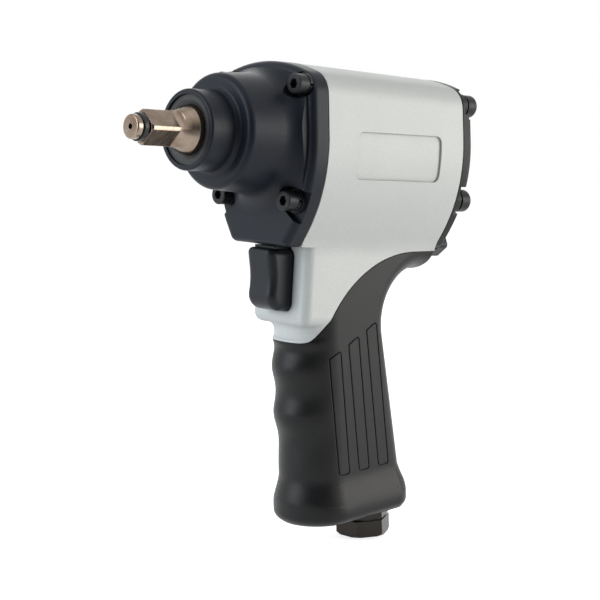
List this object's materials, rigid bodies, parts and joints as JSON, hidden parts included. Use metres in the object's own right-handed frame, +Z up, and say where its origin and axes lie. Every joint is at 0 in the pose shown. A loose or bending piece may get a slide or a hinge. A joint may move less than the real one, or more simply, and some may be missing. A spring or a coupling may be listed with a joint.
{
  "type": "air impact wrench",
  "caption": "Pistol-grip air impact wrench with square drive, bolted hammer case, barrel housing, trigger, reverse lever, rubber grip and threaded air inlet.",
  "frame": {"origin": "on the drive axis, in the plane at the root of the square where a socket seats", "axes": "-Y is the way the drive points, +Z is up with the handle hanging along -Z, +X is the tool's left side"},
  "size_m": [0.0526, 0.1453, 0.1753],
  "materials": {
    "silver_paint": "cast, silver-grey metallic paint",
    "case_black": "cast, matte blue-black coating",
    "cover_black": "cast, matte dark grey coating",
    "grip_rubber": "moulded charcoal rubber",
    "trigger_black": "moulded, satin black",
    "black_screw": "black oxide",
    "nickel_steel": "satin nickel",
    "steel": "ground steel",
    "gunmetal": "dark plated, polished",
    "black_ring": "smooth",
    "seal_rubber": "smooth",
    "bronze": "sintered",
    "plate_aluminium": "machined",
    "vane_composite": "laminated",
    "gasket_sheet": "pressed sheet",
    "felt": "felt",
    "brass_fine": "drawn"
  },
  "bodies": {
    "housing": {"motor_housing": "silver_paint", "hammer_case": "case_black", "rear_cover": "cover_black", "grip_sleeve": "grip_rubber", "case_gasket": "gasket_sheet", "rear_gasket": "gasket_sheet", "hammer_case_screws": "black_screw", "hammer_case_washers": "black_screw", "rear_cover_screws": "black_screw", "rear_cover_washers": "black_screw", "valve_seat": "brass_fine", "valve_spring": "steel", "air_inlet": "gunmetal", "inlet_o_ring": "seal_rubber", "inlet_screen": "brass_fine", "exhaust_deflector": "cover_black", "muffler": "felt", "anvil_bushing": "bronze", "nose_seal": "seal_rubber", "front_end_plate": "plate_aluminium", "rear_end_plate": "plate_aluminium", "front_bearing": "steel", "rear_bearing": "steel", "motor_cylinder": "steel", "cylinder_dowel": "steel", "reverse_valve_bushing": "brass_fine", "detent_ball": "steel", "detent_spring": "steel"},
    "trigger": {"trigger": "trigger_black", "trigger_pin": "steel"},
    "throttle": {"throttle_valve": "steel"},
    "rotor": {"rotor": "steel", "rotor_vanes": "vane_composite", "hammer_frame": "steel", "hammer_pins": "steel", "front_bearing_ring": "steel", "rear_bearing_ring": "steel"},
    "anvil": {"anvil": "nickel_steel", "socket_retaining_ring": "black_ring", "retaining_o_ring": "seal_rubber"},
    "dog_front": {"hammer_dog_front": "steel"},
    "dog_rear": {"hammer_dog_rear": "steel"},
    "reverse": {"reverse_lever": "trigger_black", "reverse_valve": "plate_aluminium", "spool_o_ring": "seal_rubber", "lever_screw": "black_screw"}
  },
  "joints": [
    {"name": "trigger_pull", "type": "slide", "parent": "housing", "child": "trigger", "axis": [0, 1, 0], "range_m": [0, 0.005], "stiffness_N_per_m": 400, "springref_m": -0.004},
    {"name": "valve_tilt", "type": "hinge", "parent": "housing", "child": "throttle", "pos_m": [0, 0.09122, -0.08579], "axis": [-1, 0, 0], "range_deg": [0, 8.4], "deforming": ["valve_spring"]},
    {"name": "rotor_spin", "type": "hinge", "parent": "housing", "child": "rotor", "pos_m": [0, 0.08, 0], "axis": [0, 1, 0], "continuous": true},
    {"name": "anvil_spin", "type": "hinge", "parent": "housing", "child": "anvil", "pos_m": [0, 0.02, 0], "axis": [0, 1, 0], "continuous": true},
    {"name": "dog_front_swing", "type": "hinge", "parent": "rotor", "child": "dog_front", "pos_m": [0, 0.0324, 0.0136], "axis": [0, 1, 0], "range_deg": [-3.5, 3.5]},
    {"name": "dog_rear_swing", "type": "hinge", "parent": "rotor", "child": "dog_rear", "pos_m": [0, 0.041, -0.0136], "axis": [0, 1, 0], "range_deg": [-3.5, 3.5]},
    {"name": "reverse_turn", "type": "hinge", "parent": "housing", "child": "reverse", "pos_m": [0, 0.128, -0.031], "axis": [0, 1, 0], "range_deg": [-25, 25]}
  ],
  "couplings": [
    {"joint": "valve_tilt", "follows": "trigger_pull", "rad_per_m": 28.2},
    {"joint": "anvil_spin", "follows": "rotor_spin", "ratio": 1}
  ]
}
